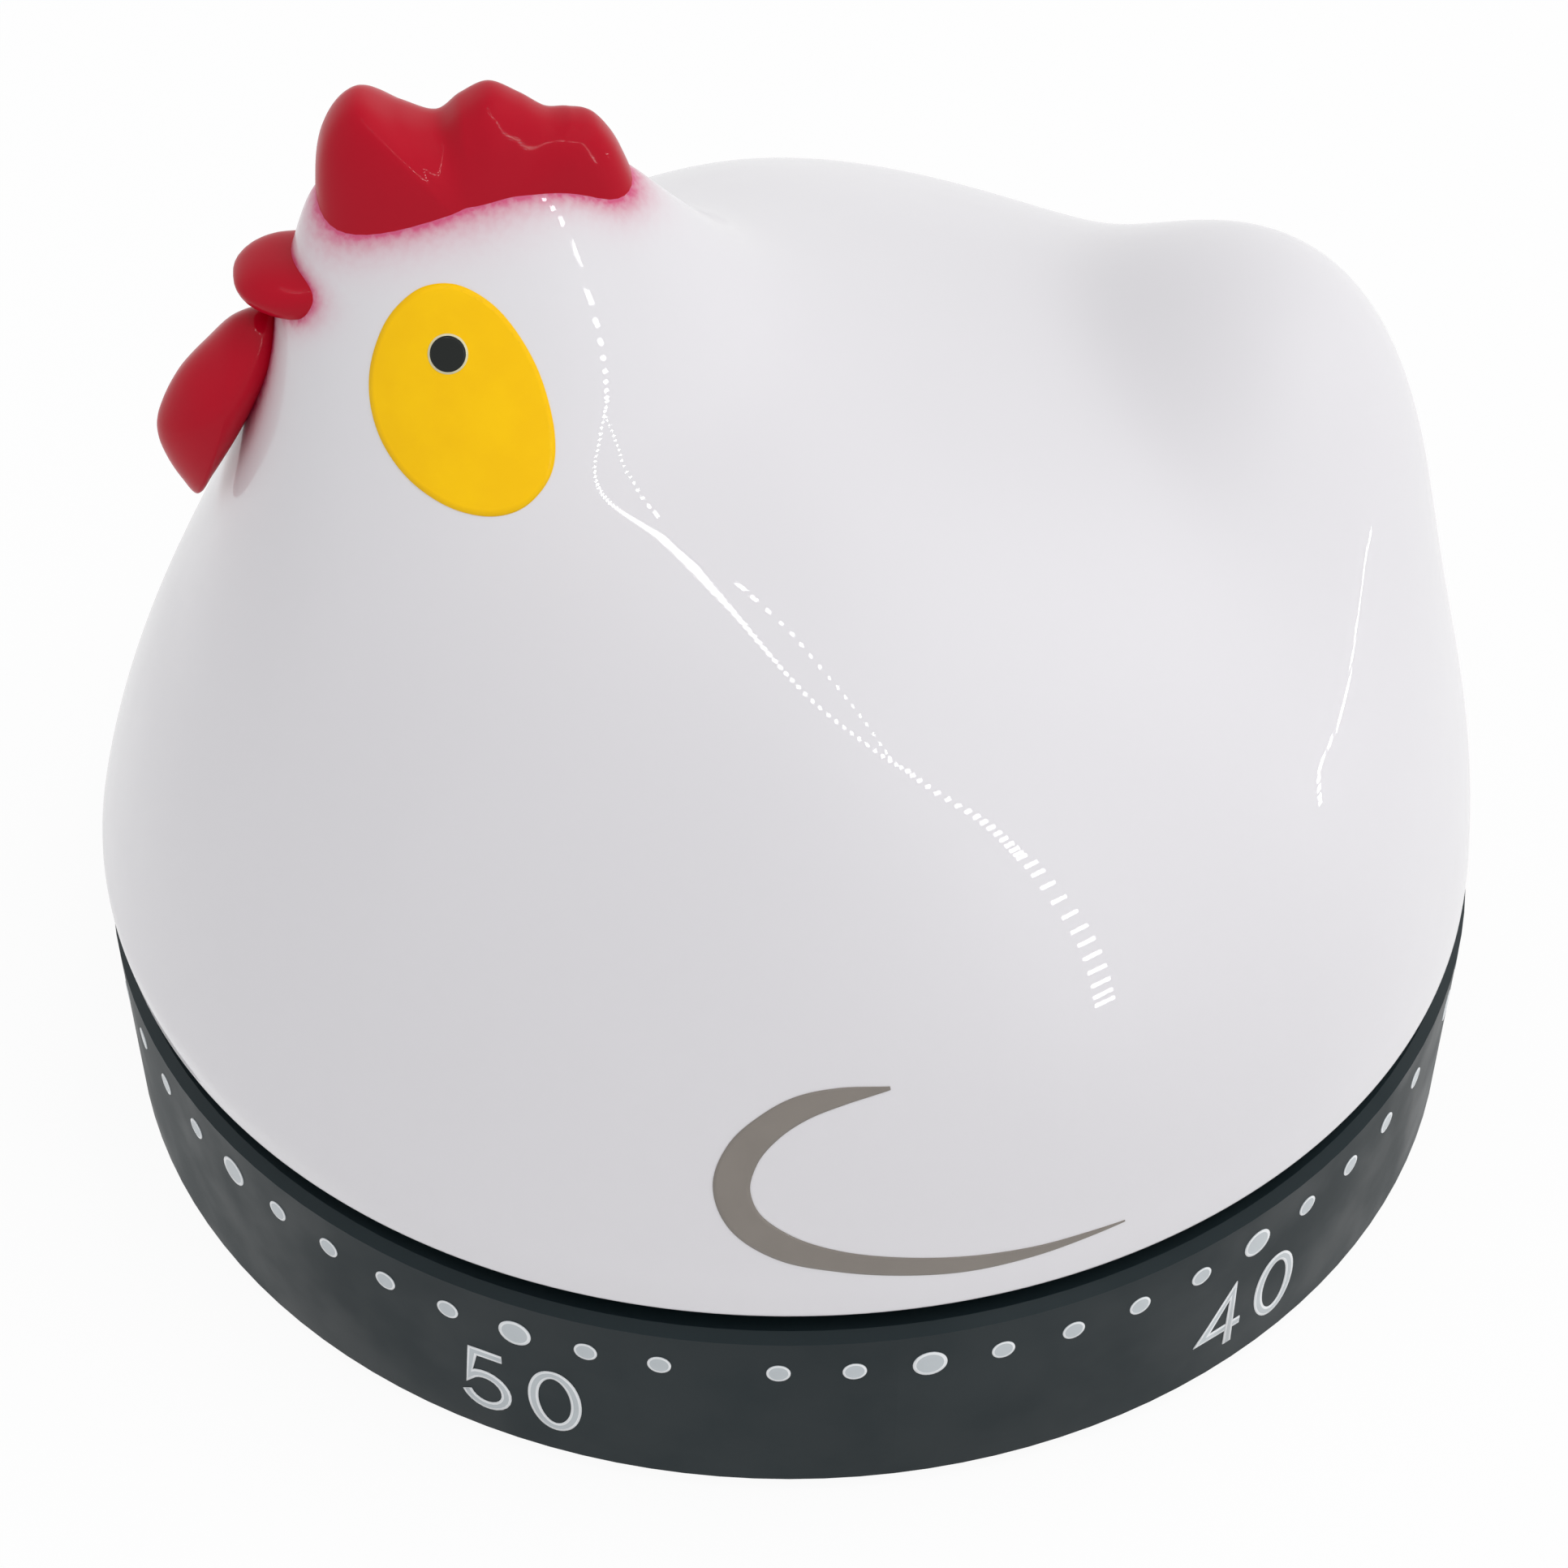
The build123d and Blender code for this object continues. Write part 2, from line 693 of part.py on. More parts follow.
def plate_pillars():
    pillars = []
    for angle in pillar_angles:
        place = polar(pillar_distance, angle)
        body = disc(pillar_radius, lower_top, upper_low, place)
        body += disc(screw_radius, plate_floor, lower_top, place)
        hole = disc(screw_radius + bolt_gap, upper_low - pillar_grip - thread_room, upper_low, place)
        pillars.append(body - hole)
    return group(pillars)


def pillar_screws():
    head = upper_top + screw_head_height
    length = plate_thickness + pillar_grip
    return group(screw(polar(pillar_distance, a), head, False, length) for a in pillar_angles)


def movement_screws():
    head = lower_top + screw_head_height
    length = plate_thickness + post_grip
    return group(screw(polar(post_distance, a), head, False, length) for a in post_angles)


def mainspring():
    high = mainspring_base + mainspring_height
    return spiral(arbor_neck_radius + 2 * strip, mainspring_radius, mainspring_turns, mainspring_base, high,
                  (0, 0), spring_end_angle)


def spring_post():
    place = polar(mainspring_radius + strip + spring_post_radius + 2 * bolt_gap, spring_end_angle)
    return disc(spring_post_radius, upper_top, mainspring_base + mainspring_height, place)


def stop_post():
    return disc(stop_radius, upper_top, carrier_ceiling - 3 * stop_gap, (stop_distance, 0))


# ---- striking work ----
def strike_cam():
    high = plate_floor - cam_drop
    low = high - cam_thickness
    body = disc(cam_radius, low, high)
    body -= disc(arbor_neck_radius + bolt_gap, low, high)
    return body - disc(cam_notch_radius, low, high, polar(cam_radius, hammer_angle))


def hammer():
    high = plate_floor - cam_drop
    low = high - cam_thickness
    pivot = polar(hammer_distance, hammer_angle)
    head = polar(hammer_head_distance, hammer_head_angle)
    tip = polar(cam_radius + 3 * stop_gap + hammer_tail_width / 2, hammer_angle)
    body = link(pivot, head, hammer_arm_width, low, high)
    body += link(pivot, tip, hammer_tail_width, low, high)
    body += disc(hammer_pin_radius + hammer_boss_wall, low, high, pivot)
    body += disc(hammer_head_radius, low - hammer_head_height, high, head)
    return body - disc(hammer_pin_radius + pivot_gap, low, high, pivot)


def hammer_pin():
    high = plate_floor - cam_drop
    pivot = polar(hammer_distance, hammer_angle)
    body = disc(hammer_pin_radius, high - cam_thickness - stop_gap, lower_top, pivot)
    return body + disc(2 * hammer_pin_radius, high + stop_gap, plate_floor, pivot)


def gong():
    """Bell-metal cup whose wall has one thickness round its sloping corner."""
    slope = atan2(gong_corner_height, gong_corner_width)
    corner = gong_radius - gong_corner_width
    wall_low = gong_low + gong_corner_height
    floor, top = gong_low + gong_sheet, gong_low + gong_height
    inner = gong_radius - gong_sheet
    return turned((
        (screw_radius + bolt_gap, gong_low), (corner, gong_low), (gong_radius, wall_low), (gong_radius, top),
        (inner, top), (inner, wall_low + gong_sheet * tan((pi / 2 - slope) / 2)),
        (corner - gong_sheet * tan(slope / 2), floor), (screw_radius + bolt_gap, floor)))


def gong_screw():
    return screw((0, 0), gong_low + gong_sheet + screw_head_height, False, gong_sheet + gong_grip)


# ---- dial base ----
def base_ring():
    foot = ring_radius - ring_draft
    lip = ring_radius - lip_width
    body = turned((
        (ring_bore, ring_low), (foot - ring_edge, ring_low), (foot, ring_low + ring_edge),
        (ring_radius, ring_top - ring_edge), (ring_radius - ring_edge, ring_top), (lip, ring_top),
        (lip, ring_top - lip_thickness), (ring_bore, ring_top - lip_thickness)))
    for angle in base_screw_angles:
        place = polar(base_screw_distance, angle)
        boss = disc(screw_head_radius, floor_top, ring_top - lip_thickness, place)
        rib = link(place, polar(ring_bore + ring_wall / 2, angle), 2 * screw_head_radius, floor_top,
                   ring_top - lip_thickness)
        body += boss + (rib & disc(ring_bore + ring_wall / 2, floor_top, ring_top))
        body -= disc(screw_radius + bolt_gap, floor_top, floor_top + screw_length, place)
    return body


def base_floor():
    body = disc(ring_bore - seat_gap, ring_low, floor_top)
    body -= disc(pad_radius + seat_gap, ring_low, pad_thickness)
    body += disc(screw_radius + gong_boss_wall, floor_top, gong_low)
    for angle in post_angles:
        place = polar(post_distance, angle)
        body += disc(post_radius, floor_top, plate_floor, place)
        body -= disc(screw_radius + bolt_gap, plate_floor - post_grip - thread_room, plate_floor, place)
    body -= disc(screw_radius + bolt_gap, gong_low - gong_grip - thread_room, gong_low)
    for angle in base_screw_angles:
        place = polar(base_screw_distance, angle)
        body -= disc(screw_radius + bolt_gap, ring_low, floor_top, place)
        body -= disc(screw_head_radius + bolt_gap, ring_low, ring_low + screw_head_height, place)
    return body


def base_screws():
    return group(screw(polar(base_screw_distance, a), ring_low, True) for a in base_screw_angles)


def rubber_pad():
    return disc(pad_radius, 0, pad_thickness)


pieces = {
    "hen_shell": hen_shell, "comb": comb, "beak": beak, "wattle": wattle,
    "carrier": carrier, "carrier_screws": carrier_screws,
    "winding_arbor": winding_arbor, "arbor_screw": arbor_screw,
    "main_wheel": main_wheel, "ratchet_wheel": ratchet_wheel, "click_pawl": click_pawl,
    "strike_cam": strike_cam,
    "second_arbor": second_arbor, "second_wheel": second_wheel,
    "third_arbor": third_arbor, "third_wheel": third_wheel,
    "escape_arbor": escape_arbor, "escape_wheel": escape_wheel,
    "pallet_lever": pallet_lever, "balance_wheel": balance_wheel, "balance_staff": balance_staff,
    "hairspring": hairspring, "hairspring_stud": hairspring_stud,
    "lower_plate": lower_plate, "upper_plate": upper_plate,
    "plate_pillars": plate_pillars, "pillar_screws": pillar_screws, "movement_screws": movement_screws,
    "mainspring": mainspring, "spring_post": spring_post, "stop_post": stop_post,
    "hammer": hammer, "hammer_pin": hammer_pin, "gong": gong, "gong_screw": gong_screw,
    "base_ring": base_ring, "base_floor": base_floor, "base_screws": base_screws, "rubber_pad": rubber_pad,
}

os.makedirs("parts", exist_ok=True)
for name, make in pieces.items():
    export_step(make(), f"parts/{name}.step")
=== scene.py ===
import json
import math

import bpy
import numpy as np
from mathutils import Matrix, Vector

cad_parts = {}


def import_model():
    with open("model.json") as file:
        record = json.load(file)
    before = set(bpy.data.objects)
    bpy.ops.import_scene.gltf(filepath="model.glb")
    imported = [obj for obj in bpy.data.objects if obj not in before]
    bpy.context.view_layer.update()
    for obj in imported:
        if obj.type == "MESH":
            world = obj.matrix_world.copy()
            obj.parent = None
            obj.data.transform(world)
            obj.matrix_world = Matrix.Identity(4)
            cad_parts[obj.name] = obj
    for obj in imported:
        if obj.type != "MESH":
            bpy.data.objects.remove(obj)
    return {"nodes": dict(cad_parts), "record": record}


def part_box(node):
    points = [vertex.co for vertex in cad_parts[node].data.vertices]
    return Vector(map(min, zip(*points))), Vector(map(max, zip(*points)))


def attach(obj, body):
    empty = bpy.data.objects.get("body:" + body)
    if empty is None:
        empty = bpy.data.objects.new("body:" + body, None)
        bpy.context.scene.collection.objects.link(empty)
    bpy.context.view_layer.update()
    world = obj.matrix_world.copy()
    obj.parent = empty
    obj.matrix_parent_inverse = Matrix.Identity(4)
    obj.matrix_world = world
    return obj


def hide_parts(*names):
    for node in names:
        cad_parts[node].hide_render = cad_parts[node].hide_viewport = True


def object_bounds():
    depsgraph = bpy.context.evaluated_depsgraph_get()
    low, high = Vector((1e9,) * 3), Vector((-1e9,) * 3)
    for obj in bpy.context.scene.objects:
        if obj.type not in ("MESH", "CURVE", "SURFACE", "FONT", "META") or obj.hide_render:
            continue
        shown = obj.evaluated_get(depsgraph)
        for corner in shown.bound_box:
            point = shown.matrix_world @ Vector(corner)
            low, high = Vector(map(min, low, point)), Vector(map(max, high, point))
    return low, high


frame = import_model()
bounds_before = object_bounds()

# A wind-up kitchen timer: a glossy hen turns on a dark dial base. Shapes are worked out in millimetres as
# (fore, left, up), where fore is the way the hen faces at zero minutes, and become metres in the row frame
# in make_piece. The dial is printed on the base, and the face and the wings on the hen.
MM = 0.001

# ---- places taken from the frame ----
ring_low, ring_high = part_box("base_ring")
rim_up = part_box("hen_shell")[0].z / MM
ring_radius = ring_high.x / MM
ring_top = ring_high.z / MM
ring_foot = ring_low.z / MM

# ---- the hen's form, as a reach from its centre in the rim plane ----
rim_step = 0.2
rim_radius = ring_radius - rim_step
rim_tuck = 3.0
rim_round = 0.45
rim_turns = (15, 35, 55, 75, 90)    # degrees round each corner of the shell's lower edge
shell_wall = 2.0
dome_radius = rim_radius - 0.8
dome_height = 36.3
dome_power_back = 2.15
dome_power_breast = 1.64
breast_angle = 81.0
breast_turn = 17.0
saddle_depth = 4.7
saddle_angle = 111.0
saddle_width = 0.77
tail_middle = (-14.0, 2.1)
tail_tilt = 113.0
tail_size = (32.1, 13.9, 19.6)
tail_blend = 5.8
neck_top = 44.7
neck_fore = 4.1
neck_lean = 0.27
neck_round = 6.1
neck_round_depth = 1.5
neck_taper_fore = 0.57
neck_taper_side = 0.68
neck_side_round = 4.1
neck_power = 2.1
neck_blend = 3.4
neck_halvings = 30
nape_fill = 1.1                 # the corner behind the neck is filled by up to this
nape_width = 4.5
nape_fore = 0.02
nape_turn = 0.2
crown_angle = 68.0
hen_around = 288
hen_levels = 150
hen_inner_levels = 40
level_crowding = 0.08           # loops of the skin stand closer near the crown and near the rim

# ---- red parts: outlines on the hen's middle plane as (fore, up), with the middle of each ----
comb_outline = (
    (22.7, 52.0), (22.75, 56.2), (22.1, 59.0), (20.6, 60.5), (18.7, 59.6), (16.9, 58.9), (15.6, 59.8),
    (14.2, 60.4), (12.8, 59.7), (11.5, 58.8), (10.35, 58.65), (9.2, 58.2), (8.1, 56.4), (7.4, 53.4),
    (8.6, 50.1), (15.0, 48.1), (21.5, 48.9))
comb_middle = (15.2, 53.8)
comb_waist = 16.0
comb_swell_length = 5.0
comb_back = 8.0
comb_flare_length = 2.0
beak_outline = (
    (24.2, 52.2), (25.5, 52.15), (26.5, 51.8), (27.1, 51.2), (26.95, 50.6), (26.4, 50.1), (25.6, 49.7),
    (24.8, 49.5), (23.6, 49.6), (21.5, 50.2), (21.0, 51.3), (22.5, 52.1))
beak_middle = (23.6, 50.9)
wattle_outline = (
    (25.6, 48.9), (27.2, 48.6), (28.8, 47.2), (30.4, 45.5), (31.45, 43.6), (31.7, 42.3), (31.4, 40.85),
    (30.8, 39.4), (30.15, 38.45), (29.3, 39.6), (27.6, 42.3), (25.9, 45.5), (25.2, 47.5))
wattle_middle = (28.2, 44.7)
pillow_around = 220
pillow_rings = {"comb": 28, "beak": 24, "wattle": 24}
# For each: outline, middle, half thickness and fullness. A half thickness has three parts: what it is at
# the comb's waist, what it gains towards the front, and what it gains at the comb's back end.
red_parts = {
    "comb": (comb_outline, comb_middle, (2.95, 0.6, 0.65), 2.7),
    "beak": (beak_outline, beak_middle, (3.0, 0, 0), 2.5),
    "wattle": (wattle_outline, wattle_middle, (2.6, 0, 0), 1.85),
}
paint_bleed_and_glow_width = 0.5               # how far the pink tint reaches round the red parts; it is partly bled red paint and partly painted red light
paint_bleed_and_glow_points = 360

# ---- prints ----
print_lift = 0.035
print_edge_lift = 0.8 * print_lift
print_depth = 0.12
drape_rounds = 12
eye_middle = (16.81, 8.14, 48.13)
eye_facing = (0.199, 0.779, 0.595)
eye_upright = (0.359, -0.623, 0.695)
eye_outline = (
    (1.1, 5.82), (2.45, 5.15), (3.46, 3.6), (3.9, 1.6), (3.88, -0.6), (3.3, -3.1), (2.3, -4.75),
    (0.6, -5.55), (-1.1, -5.25), (-2.7, -4.0), (-3.85, -2.1), (-4.3, 0.0), (-4.05, 1.95), (-3.2, 3.65),
    (-1.75, 5.05), (-0.3, 5.72))
eye_points = 140
eye_shares = np.linspace(0.06, 1, 16)
pupil_spot = (0.49, 2.53)
pupil_radius = 0.86
# the pale disc under each pupil shows as a rim round it: a painted highlight halo, not print
pupil_halo_radius = 1.12 * pupil_radius
pupil_points = 64
pupil_shares = np.linspace(0.15, 1, 6)
wing_line = (                   # fore, up and half width along the mark, from its upper tip to its rear one
    (0.2, 26.25, 0.08), (2.4, 25.95, 0.40), (4.35, 25.35, 0.58), (5.95, 24.3, 0.66), (7.2, 22.9, 0.77),
    (7.8, 21.1, 0.86), (7.2, 19.3, 0.86), (5.4, 17.95, 0.78), (3.0, 17.15, 0.62), (0.2, 16.58, 0.55),
    (-3.3, 16.12, 0.46), (-6.7, 15.98, 0.29), (-9.5, 16.05, 0.15), (-11.4, 16.1, 0.04))
wing_points = 150
wing_columns = 9

# ---- dial print on the base ring, with painted highlight rims round its dots and digits ----
dial_minutes = 60
dial_front = 270.0              # row-frame angle of the zero
dot_height = 9.53
dot_radius = 0.6
five_dot_radius = 0.87
five_dot_step = 5
dot_step = 5.7264
dot_block = 12                  # dots in each of the five groups round the ring
dot_points = 28
dot_face = 0.8                  # share of a dot inside its pale edge, a painted highlight rim
dot_levels = (                  # share of a dot's radius and height there, from its middle to its foot
    (dot_face / 2, print_lift), (dot_face, print_lift), (1.0, print_edge_lift), (1.0, -print_depth))
numeral_step = 10
numeral_foot = 2.55
numeral_height = 4.65
numeral_gap = 0.85
numeral_stretch = 1.12          # the digits are drawn this much wider than their lines below
stroke_width = 0.55
stroke_face = 0.5               # share of a stroke between its pale edges, which are painted highlight rims
mitre_limit = 0.45
ring_draft = 0.3
ring_edge = 0.5

# ---- floor, lights and camera, in metres and degrees ----
floor_half = 1.6
floor_share = 0.94              # how much of the floor's look is plain white
room_colour = (0.97, 0.975, 1.0)
room_strength = 0.525
soft_lamps = {                  # around, rise, distance, size and watts
    "ceiling": (178, 58, 1.4, (1.3, 1.3), 10.0),
    "window": (15, 12, 1.5, (1.0, 0.8), 2.4),
}
row_away = 3.0
row_lamp_height = 0.035
lamp_rows = {                   # number of lamps, watts a square metre, and course as (around, rise, width)
    "strip_low": (12, 90.0, ((130, 1, 0.18), (130, 14, 0.17), (127, 30, 0.14))),
    "strip_middle": (17, 90.0, ((126, 32, 0.11), (121, 42, 0.08), (107, 54, 0.06))),
    "strip_high": (36, 96.0, (
        (105, 55, 0.045), (88, 62, 0.04), (64, 68, 0.036), (45, 72, 0.036), (31, 75, 0.03), (23, 77, 0.03))),
    "strip_neck": (18, 90.0, (
        (102, 57, 0.03), (96, 64, 0.03), (84, 71, 0.03), (60, 77, 0.03), (29, 79, 0.03))),
    "strip_tail": (10, 100.0, ((176, 5, 0.03), (172, 6, 0.03), (171, 2, 0.03))),
}
camera_lens = 87.08
camera_sensor = 36.0
camera_place = (0.15479, -0.02247, 0.15496)
camera_turn = (48.12, 0, 81.84)


# ---- numbers ----
def unit(v):
    v = np.asarray(v, float)
    return v / np.linalg.norm(v, axis=-1, keepdims=True)


def smooth_max(a, b, blend):
    return 0.5 * (a + b + np.sqrt((a - b) ** 2 + blend ** 2))


def smooth_path(points, count, closed):
    """count places along a smooth curve through the points, which is a loop if closed."""
    points = np.asarray(points, float)
    spans = len(points) if closed else len(points) - 1
    before, after = (points[-1], points[:2]) if closed else (points[0], points[-1])
    padded = np.vstack([before, points, after])
    place = np.arange(count) * spans / (count if closed else count - 1)
    first = np.minimum(place.astype(int), spans - 1)
    t = (place - first)[:, None]
    a, b, c, d = (padded[first + shift] for shift in range(4))
    bend = (2 * a - 5 * b + 4 * c - d) * t ** 2 + (3 * b - a - 3 * c + d) * t ** 3
    return 0.5 * (2 * b + (c - a) * t + bend)


def circle(count):
    """count points round the unit circle."""
    turns = 2 * np.pi * np.arange(count) / count
    return np.column_stack([np.cos(turns), np.sin(turns)])


# ---- the hen's form ----
def dome_reach(fore, side, rise, grow):
    flat = np.hypot(fore, side)
    around = np.degrees(np.arctan2(np.abs(side), fore))
    breast = 0.5 * (1 - np.tanh((around - breast_angle) / breast_turn))
    power = dome_power_back + (dome_power_breast - dome_power_back) * breast * flat
    reach = (flat / (dome_radius + grow)) ** power + (np.abs(rise) / (dome_height + grow)) ** power
    saddle = math.radians(saddle_angle)
    away = np.arccos(np.clip(fore * math.cos(saddle) + rise * math.sin(saddle), -1, 1))
    return reach ** (-1 / power) - saddle_depth * np.exp(-(away / saddle_width) ** 2)


def tail_reach(fore, side, rise, grow):
    cos, sin = math.cos(math.radians(tail_tilt)), math.sin(math.radians(tail_tilt))
    length, depth, width = (size + grow for size in tail_size)
    along, across = fore * cos + rise * sin, rise * cos - fore * sin
    mid_along = tail_middle[0] * cos + tail_middle[1] * sin
    mid_across = tail_middle[1] * cos - tail_middle[0] * sin
    a = (along / length) ** 2 + (across / depth) ** 2 + (side / width) ** 2
    b = -(along * mid_along / length ** 2 + across * mid_across / depth ** 2)
    c = (mid_along / length) ** 2 + (mid_across / depth) ** 2 - 1
    return (np.sqrt(np.maximum(b * b - a * c, 0)) - b) / a


def neck_reach(fore, side, rise, grow):
    """Reach of the neck and head, found by halving the stretch that holds its skin."""
    drop = -grow / (neck_taper_side * math.cos(math.atan(neck_taper_side)))
    near, far = np.zeros_like(fore), np.full_like(fore, 2 * neck_top)
    for _ in range(neck_halvings):
        middle = (near + far) / 2
        up = middle * rise + drop
        below = np.maximum(neck_top - up, 1e-6)
        half_fore = neck_round * np.tanh(below / neck_round_depth) + neck_taper_fore * below
        half_side = neck_taper_side * np.sqrt(below * (below + neck_side_round))
        ahead = np.abs(middle * fore - neck_fore - neck_lean * up) / half_fore
        aside = np.abs(middle * side) / half_side
        inside = (up < neck_top) & (ahead ** neck_power + aside ** neck_power < 1)
        near, far = np.where(inside, middle, near), np.where(inside, far, middle)
    return near


def form_reach(ways, grow=0.0):
    """Distance from the form's centre, along unit vectors, to the hen's skin moved out by grow."""
    fore, side, rise = ways[..., 0], ways[..., 1], ways[..., 2]
    body = smooth_max(dome_reach(fore, side, rise, grow), tail_reach(fore, side, rise, grow), tail_blend)
    neck = neck_reach(fore, side, rise, grow)
    nape = 0.5 * (1 - np.tanh((fore - nape_fore) / nape_turn))
    fill = nape_fill * nape * np.exp(-((body - neck) / nape_width) ** 2)
    reach = smooth_max(body, neck, neck_blend) + fill
    level = np.clip(reach * rise / rim_tuck, 0, 1)
    rim = (rim_radius + grow) / np.maximum(np.hypot(fore, side), 0.05)
    return rim + (reach - rim) * level * level * (3 - 2 * level)


def from_centre(spots):
    return spots - np.array((0, 0, rim_up))


def along_ways(ways, grow=0.0):
    """Places on the skin, moved out by grow, along unit vectors from the form's centre."""
    return ways * form_reach(ways, grow)[..., None] + np.array((0, 0, rim_up))


def onto_form(spots):
    """Places on the skin straight out from the form's centre through the spots."""
    return along_ways(unit(from_centre(spots)))


def form_normals(spots, probe=0.02):
    """Outward unit normals of the skin at spots on it."""
    slopes = []
    for axis in np.eye(3):
        ends = []
        for sign in (1, -1):
            out = from_centre(spots + sign * probe * axis)
            ends.append(np.linalg.norm(out, axis=-1) - form_reach(unit(out)))
        slopes.append(ends[0] - ends[1])
    return unit(np.stack(slopes, -1))


def drape(plan, origin, right, upright, facing):
    """Places on the skin that lie over a flat plan of (right, upright) distances, seen along facing."""
    flat = origin + plan[..., :1] * right + plan[..., 1:2] * upright
    spots = onto_form(flat)
    for _ in range(drape_rounds):
        height = ((spots - origin) @ facing)[..., None]
        spots = onto_form(flat + height * facing)
    return spots


# ---- mesh makers ----
def in_row(spots):
    """(fore, left, up) in millimetres to the row frame in metres."""
    return np.stack([spots[..., 1], -spots[..., 0], spots[..., 2]], -1) * MM


def make_piece(name, spots, faces, body, materials, face_materials=None):
    """Smooth-shaded object that rides a body and wears the materials given."""
    mesh = bpy.data.meshes.new(name)
    mesh.from_pydata(in_row(np.asarray(spots)).tolist(), [], faces)
    mesh.validate()
    mesh.shade_smooth()
    for made in materials:
        mesh.materials.append(made)
    if face_materials is not None:
        mesh.polygons.foreach_set("material_index", face_materials)
    mesh.update()
    piece = bpy.data.objects.new(name, mesh)
    bpy.context.scene.collection.objects.link(piece)
    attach(piece, body)
    return piece


def flipped(faces):
    return [face[::-1] for face in faces]


def on_side(spots, faces, side):
    """A mesh made on the left moved to its side (1 left, -1 right), with its faces outwards."""
    return spots * np.array((1, side, 1)), flipped(faces) if side > 0 else faces


def tube_faces(rows, columns):
    """Quads between loops of points that follow one another."""
    faces = []
    for row in range(rows - 1):
        a, b = row * columns, (row + 1) * columns
        for column in range(columns):
            after = (column + 1) % columns
            faces.append((a + column, a + after, b + after, b + column))
    return faces


def closed_rows(rows, capped_by):
    """One closed surface from loops of points, with a single point at each end."""
    first, last = capped_by
    columns = len(rows[0])
    spots = np.vstack([np.vstack(rows), first, last])
    faces = tube_faces(len(rows), columns)
    top, bottom, base = len(spots) - 2, len(spots) - 1, (len(rows) - 1) * columns
    for column in range(columns):
        after = (column + 1) % columns
        faces.append((top, after, column))
        faces.append((bottom, base + column, base + after))
    return spots, faces


def joined(parts):
    """One mesh from several, each as its spots, faces and face marks."""
    spots, faces, marks = [], [], []
    for part_spots, part_faces, part_marks in parts:
        start = len(spots)
        spots.extend(part_spots)
        faces.extend(tuple(start + i for i in face) for face in part_faces)
        marks.extend(part_marks)
    return spots, faces, marks


# ---- the hen ----
def skin_rows(levels, grow):
    """Loops of the skin from the crown to just above the rim, and the place at the crown."""
    crown = np.array((math.cos(math.radians(crown_angle)), 0, math.sin(math.radians(crown_angle))))
    lowest = np.full(hen_around, rim_round / (rim_radius + grow))
    rim_ways = unit(np.column_stack([circle(hen_around), lowest]))
    span = np.arccos(np.clip(rim_ways @ crown, -1, 1))
    rows = []
    for level in range(1, levels + 1):
        step = level / levels
        share = step - level_crowding * math.sin(2 * math.pi * step)
        ways = crown * np.sin((1 - share) * span)[:, None] + rim_ways * np.sin(share * span)[:, None]
        rows.append(along_ways(unit(ways), grow))
    return rows, along_ways(crown[None], grow)[0]


def rounded_rim(outer, inner):
    """Loops that carry the outer skin round the lower edge of the shell wall to the inner skin."""
    rows = []
    for start, sign, turns in ((outer, 1, rim_turns), (inner, -1, rim_turns[::-1])):
        flat = np.hypot(start[:, 0], start[:, 1])
        ways = start[:, :2] / flat[:, None]
        for turn in np.radians(turns):
            radius = flat - sign * rim_round * (1 - math.cos(turn))
            up = rim_up + rim_round * (1 - math.sin(turn))
            rows.append(np.column_stack([ways * radius[:, None], np.full(len(flat), up)]))
    return rows


def half_thickness(half, fore):
    """Half thickness of a red part at a place along the hen."""
    even, swell, flare = half
    front = np.tanh((fore - comb_waist) / comb_swell_length)
    back = np.exp(-((fore - comb_back) / comb_flare_length) ** 2)
    return even + swell * front + flare * back


def pillow_distance(spots, outline, middle, half, fullness):
    """Rough distance of spots outside a red part."""
    loop = smooth_path(outline, paint_bleed_and_glow_points, True) - middle
    turns = np.arctan2(loop[:, 1], loop[:, 0])
    order = np.argsort(turns)
    offset = spots[:, (0, 2)] - middle
    away = np.hypot(offset[:, 0], offset[:, 1])
    edge = np.interp(np.arctan2(offset[:, 1], offset[:, 0]), turns[order],
                     np.hypot(loop[:, 0], loop[:, 1])[order], period=2 * np.pi)
    off = np.abs(spots[:, 1]) / half_thickness(half, spots[:, 0])
    fill = (off ** fullness + (away / edge) ** fullness) ** (1 / fullness)
    return (fill - 1) * np.sqrt(away ** 2 + spots[:, 1] ** 2) / np.maximum(fill, 1e-3)


def blush_at(spots):
    """Strength at spots of the pink tint, partly bled red paint and partly painted red light, fading away
    from the red parts.
    """
    nearest = np.minimum.reduce([pillow_distance(spots, *part) for part in red_parts.values()])
    return np.exp(-np.maximum(nearest, 0) / paint_bleed_and_glow_width)


def hen_body(material):
    outer, crown = skin_rows(hen_levels, 0.0)
    inner, ceiling = skin_rows(hen_inner_levels, -shell_wall)
    rows = outer + rounded_rim(outer[-1], inner[-1]) + inner[::-1]
    spots, faces = closed_rows(rows, (crown, ceiling))
    piece = make_piece("hen_body", spots, flipped(faces), "hen", [material])
    # strength at each point of the pink tint, partly bled red paint and partly painted red light
    layer = piece.data.attributes.new("paint_bleed_and_glow", "FLOAT", "POINT")
    layer.data.foreach_set("value", blush_at(spots))
    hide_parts("hen_shell")


